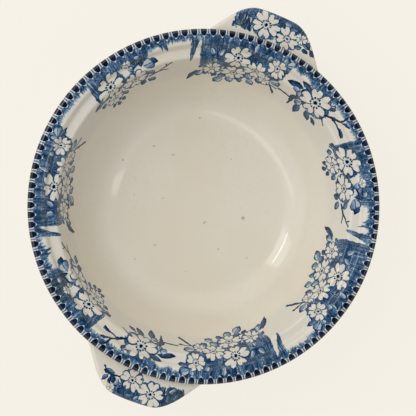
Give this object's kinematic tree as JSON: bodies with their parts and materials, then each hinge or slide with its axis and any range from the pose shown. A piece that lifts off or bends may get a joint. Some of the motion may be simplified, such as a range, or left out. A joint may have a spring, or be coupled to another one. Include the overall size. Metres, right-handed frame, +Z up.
{
  "type": "two-handled serving bowl",
  "caption": "Round serving bowl with a flat rim, a sunk lid ledge, flared walls, a standing foot ring and two flat lug handles opposite each other under the rim.",
  "frame": {"origin": "centre of the circle that the foot ring stands on, in the plane of the table", "axes": "+Z up through the middle of the bowl; the two lug handles lie along +X and -X"},
  "size_m": [0.2816, 0.24, 0.072],
  "materials": {
    "glazed_ware": "clear gloss glaze over a warm cream body, with a blue transfer print round the rim",
    "printed_lug": "clear gloss glaze over a blue transfer print with white blossoms",
    "fired_slip": "fired luting slip, matt at the joint's edge"
  },
  "bodies": {
    "root": {"bowl_body": "glazed_ware", "foot_ring": "glazed_ware", "foot_luting_slip": "fired_slip", "lug_handle_right": "printed_lug", "lug_handle_left": "printed_lug", "handle_luting_slip_right": "fired_slip", "handle_luting_slip_left": "fired_slip"}
  },
  "joints": []
}
